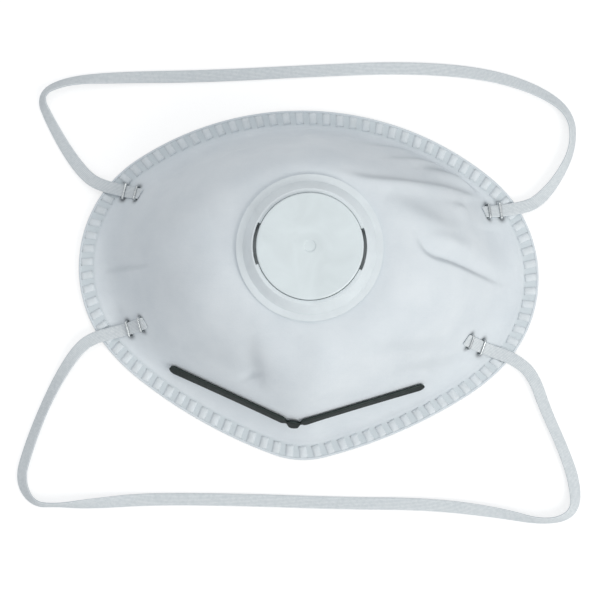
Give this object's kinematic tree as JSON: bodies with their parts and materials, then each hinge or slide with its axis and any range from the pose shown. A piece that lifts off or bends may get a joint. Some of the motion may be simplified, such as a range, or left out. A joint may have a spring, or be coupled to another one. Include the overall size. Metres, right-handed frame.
{
  "type": "disposable dust mask",
  "caption": "Moulded cup-shaped disposable respirator with a round exhalation valve, a metal nose clip and stapled elastic head straps.",
  "frame": {"origin": "middle of the mask's bounding box at the underside of its rim, without the straps", "axes": "+Z out of the front of the mask, away from the wearer; +Y towards the chin, -Y towards the nose; +X towards the right as seen from the front with the chin up"},
  "size_m": [0.1917, 0.1596, 0.049],
  "materials": {
    "outer_cover": "matte spunbond nonwoven, cool white",
    "filter_layer": "matte meltblown nonwoven, white",
    "support_shell": "soft needle felt, off-white",
    "nose_clip": "dark anodised, satin",
    "nose_pad": "open-cell foam, dark grey, matte",
    "valve_plastic": "moulded, fine satin, cool white",
    "valve_seat": "moulded, fine satin, pale grey",
    "diaphragm": "silicone, translucent white, satin",
    "staple": "zinc-plated wire",
    "strap": "woven elastic webbing, cool white"
  },
  "bodies": {
    "mask": {"outer_cover": "outer_cover", "filter_layer": "filter_layer", "support_shell": "support_shell", "nose_clip": "nose_clip", "nose_pad": "nose_pad", "valve_base": "valve_seat", "valve_cover": "valve_plastic", "valve_clamp_ring": "valve_plastic", "staple_upper_left_outer": "staple", "staple_upper_left_inner": "staple", "staple_upper_right_outer": "staple", "staple_upper_right_inner": "staple", "staple_lower_left_outer": "staple", "staple_lower_left_inner": "staple", "staple_lower_right_outer": "staple", "staple_lower_right_inner": "staple", "upper_strap_tab_left": "strap", "upper_strap_tab_right": "strap", "lower_strap_tab_left": "strap", "lower_strap_tab_right": "strap"},
    "diaphragm": {"valve_diaphragm": "diaphragm"},
    "upper_strap": {"upper_strap_loop": "strap"},
    "lower_strap": {"lower_strap_loop": "strap"}
  },
  "joints": [
    {"name": "diaphragm_lift", "type": "slide", "parent": "mask", "child": "diaphragm", "axis": [0, 0, 1], "range_m": [0, 0.0012]},
    {"name": "upper_strap_swing", "type": "hinge", "parent": "mask", "child": "upper_strap", "pos_m": [0, 0.02995, 0.0029], "axis": [1, 0, 0], "range_deg": [-110, 60]},
    {"name": "lower_strap_swing", "type": "hinge", "parent": "mask", "child": "lower_strap", "pos_m": [0, -0.02192, 0.0029], "axis": [-1, 0, 0], "range_deg": [-110, 90]}
  ]
}
